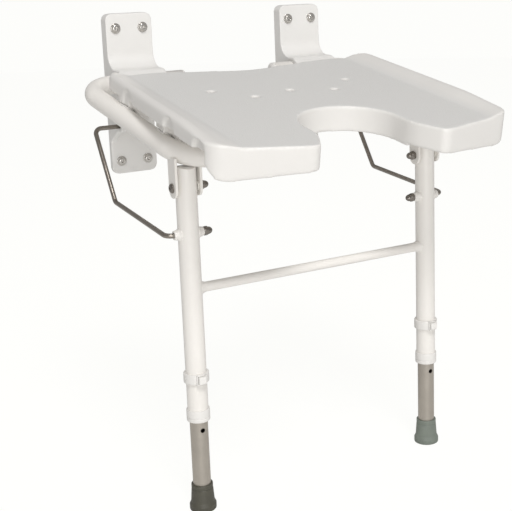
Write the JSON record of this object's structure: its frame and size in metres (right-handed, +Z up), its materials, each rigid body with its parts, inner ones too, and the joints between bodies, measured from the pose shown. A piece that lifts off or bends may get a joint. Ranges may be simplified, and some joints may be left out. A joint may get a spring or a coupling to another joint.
{
  "type": "wall-mounted folding shower seat",
  "caption": "Wall-mounted shower seat with an open-front moulded seat on a bent tube frame, folding up to the wall on moulded brackets, with height-adjustable front legs and stays.",
  "frame": {"origin": "centre of the wall screws' pattern, on the wall's face", "axes": "+X to the right as seen from the front, +Y into the wall, +Z up; the seat reaches to -Y"},
  "size_m": [0.4382, 0.4513, 0.5978],
  "materials": {
    "bracket_plastic": "moulded satin white",
    "bush_plastic": "natural acetal",
    "seat_plastic": "fine-grained grey-white top, plain sides",
    "tube_coat": "white powder coat, semi-gloss",
    "cap_plastic": "moulded white",
    "collar_plastic": "moulded white",
    "button_plastic": "moulded white",
    "nylon": "natural nylon",
    "stainless": "turned and polished stainless steel",
    "inner_alloy": "drawn aluminium tube",
    "rubber_right": "greenish grey rubber",
    "rubber_left": "dark grey rubber"
  },
  "bodies": {
    "wall_brackets": {"bracket_left": "bracket_plastic", "bracket_right": "bracket_plastic", "bush_left": "bush_plastic", "bush_right": "bush_plastic", "wall_screws": "stainless"},
    "seat": {"seat_shell": "seat_plastic", "rail_end_caps": "cap_plastic", "rail_clips": "cap_plastic", "clip_screws": "stainless", "side_tube_left": "tube_coat", "side_tube_right": "tube_coat", "clevis_left": "tube_coat", "clevis_right": "tube_coat", "pivot_bolts": "stainless", "pivot_nuts": "stainless", "pivot_washers": "nylon"},
    "leg_frame": {"leg_tube_left": "tube_coat", "leg_tube_right": "tube_coat", "leg_plugs": "cap_plastic", "cross_bar": "tube_coat", "stay_bosses": "tube_coat", "height_collars": "collar_plastic", "leg_sleeves": "collar_plastic"},
    "stay_left": {"stay_rod_left": "stainless", "stay_nut_left": "stainless", "stay_retainer_left": "stainless"},
    "foot_left": {"inner_leg_left": "inner_alloy", "ferrule_left": "rubber_left"},
    "pin_left": {"height_pin_left": "button_plastic"},
    "stay_right": {"stay_rod_right": "stainless", "stay_nut_right": "stainless", "stay_retainer_right": "stainless"},
    "foot_right": {"inner_leg_right": "inner_alloy", "ferrule_right": "rubber_right"},
    "pin_right": {"height_pin_right": "button_plastic"}
  },
  "joints": [
    {"name": "seat_fold", "type": "hinge", "parent": "wall_brackets", "child": "seat", "pos_m": [0, -0.045, 0.019], "axis": [-1, 0, 0], "range_deg": [0, 95]},
    {"name": "leg_fold", "type": "hinge", "parent": "seat", "child": "leg_frame", "pos_m": [0, -0.271, -0.08127], "axis": [-1, 0, 0], "range_deg": [-95, 0]},
    {"name": "stay_swing_left", "type": "hinge", "parent": "wall_brackets", "child": "stay_left", "pos_m": [-0.16, -0.045, -0.037], "axis": [-1, 0, 0], "range_deg": [0, 95]},
    {"name": "leg_height_left", "type": "slide", "parent": "leg_frame", "child": "foot_left", "axis": [0, 0, 1], "range_m": [-0.0669, 0.0669]},
    {"name": "pin_pull_left", "type": "slide", "parent": "leg_frame", "child": "pin_left", "axis": [0, -1, 0], "range_m": [0, 0.008], "stiffness_N_per_m": 150},
    {"name": "stay_swing_right", "type": "hinge", "parent": "wall_brackets", "child": "stay_right", "pos_m": [0.16, -0.045, -0.037], "axis": [-1, 0, 0], "range_deg": [0, 95]},
    {"name": "leg_height_right", "type": "slide", "parent": "leg_frame", "child": "foot_right", "axis": [0, 0, 1], "range_m": [-0.0669, 0.0669]},
    {"name": "pin_pull_right", "type": "slide", "parent": "leg_frame", "child": "pin_right", "axis": [0, -1, 0], "range_m": [0, 0.008], "stiffness_N_per_m": 150}
  ],
  "couplings": [
    {"joint": "leg_fold", "follows": "seat_fold", "ratio": -1},
    {"joint": "stay_swing_left", "follows": "seat_fold", "ratio": 1},
    {"joint": "stay_swing_right", "follows": "seat_fold", "ratio": 1}
  ]
}
